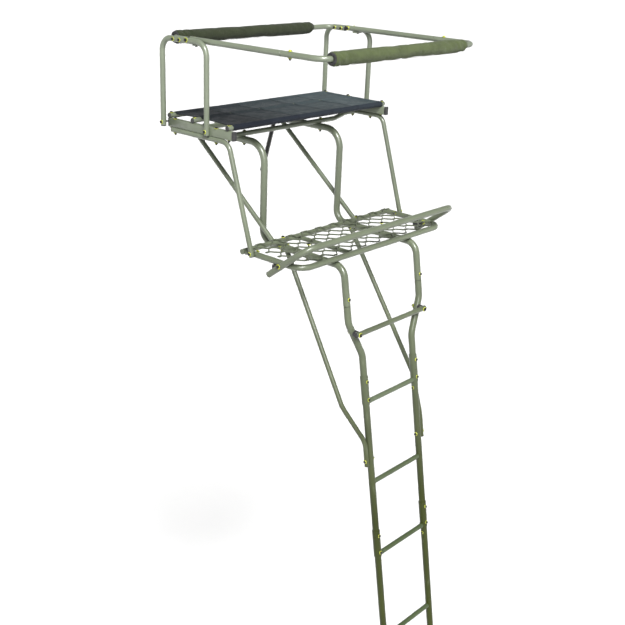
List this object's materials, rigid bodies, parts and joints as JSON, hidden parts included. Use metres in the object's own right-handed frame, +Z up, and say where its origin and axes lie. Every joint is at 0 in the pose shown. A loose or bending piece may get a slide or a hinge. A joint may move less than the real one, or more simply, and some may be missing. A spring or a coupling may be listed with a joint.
{
  "type": "ladder tree stand",
  "caption": "Leaning ladder with a tubular seat frame, padded flip-up shooting rail, sling seat and mesh foot platform.",
  "frame": {"origin": "on the ground, centred under the whole stand's bounding box", "axes": "+Z up, +Y towards the tree, +X across the stand to the right for someone facing the tree"},
  "size_m": [1.0456, 1.5776, 4.5297],
  "materials": {
    "green_powder_coat": "satin sage-green powder coat",
    "black_coat": "black paint",
    "zinc_plated_steel": "yellow zinc plating",
    "black_rubber": "matte moulded rubber",
    "olive_sleeve": "woven nylon over foam",
    "black_sling": "coated blue-black woven fabric"
  },
  "bodies": {
    "stand": {"main_tube_left": "green_powder_coat", "main_tube_right": "green_powder_coat", "upper_diagonal_left": "green_powder_coat", "upper_diagonal_right": "green_powder_coat", "outer_brace_left": "green_powder_coat", "outer_brace_right": "green_powder_coat", "lower_brace_left": "green_powder_coat", "lower_brace_right": "green_powder_coat", "seat_rail_left": "green_powder_coat", "seat_rail_right": "green_powder_coat", "mid_crossbar": "green_powder_coat", "cross_brace": "black_coat", "tree_bracket": "green_powder_coat", "armrest_hoop_left": "green_powder_coat", "armrest_hoop_right": "green_powder_coat", "rear_rail": "green_powder_coat", "rear_pad": "olive_sleeve", "rail_stop_left": "green_powder_coat", "rail_stop_right": "green_powder_coat", "rail_pivot_bolt_left": "zinc_plated_steel", "rail_pivot_bolt_right": "zinc_plated_steel", "seat_sling": "black_sling", "seat_rear_tube": "green_powder_coat", "seat_mid_tube": "green_powder_coat", "seat_front_tube": "green_powder_coat", "platform_rail": "green_powder_coat", "platform_rear_rail": "green_powder_coat", "deck_joist_left": "green_powder_coat", "deck_joist_right": "green_powder_coat", "platform_deck": "green_powder_coat", "footrest_pivot_bolt_left": "zinc_plated_steel", "footrest_pivot_bolt_right": "zinc_plated_steel", "top_stile_left": "green_powder_coat", "top_stile_right": "green_powder_coat", "ladder_stile_left_1": "green_powder_coat", "ladder_stile_left_2": "green_powder_coat", "ladder_stile_left_3": "green_powder_coat", "ladder_stile_left_4": "green_powder_coat", "ladder_stile_right_1": "green_powder_coat", "ladder_stile_right_2": "green_powder_coat", "ladder_stile_right_3": "green_powder_coat", "ladder_stile_right_4": "green_powder_coat", "rung_1": "green_powder_coat", "rung_2": "green_powder_coat", "rung_3": "green_powder_coat", "rung_4": "green_powder_coat", "rung_5": "green_powder_coat", "rung_6": "green_powder_coat", "rung_7": "green_powder_coat", "rung_8": "green_powder_coat", "rung_9": "green_powder_coat", "ladder_foot_left": "black_rubber", "ladder_foot_right": "black_rubber"},
    "shooting_rail": {"rail_arm_left": "green_powder_coat", "rail_arm_right": "green_powder_coat", "front_rail": "green_powder_coat", "front_pad": "olive_sleeve"},
    "foot_bar": {"footrest": "green_powder_coat", "footrest_bumper_left": "black_rubber", "footrest_bumper_right": "black_rubber"}
  },
  "joints": [
    {"name": "shooting_rail_flip", "type": "hinge", "parent": "stand", "child": "shooting_rail", "pos_m": [0, 0.504, 4.5025], "axis": [-1, 0, 0], "range_deg": [0, 110]},
    {"name": "footrest_flip", "type": "hinge", "parent": "stand", "child": "foot_bar", "pos_m": [0, -0.024, 3.686], "axis": [-1, 0, 0], "range_deg": [0, 100]}
  ]
}
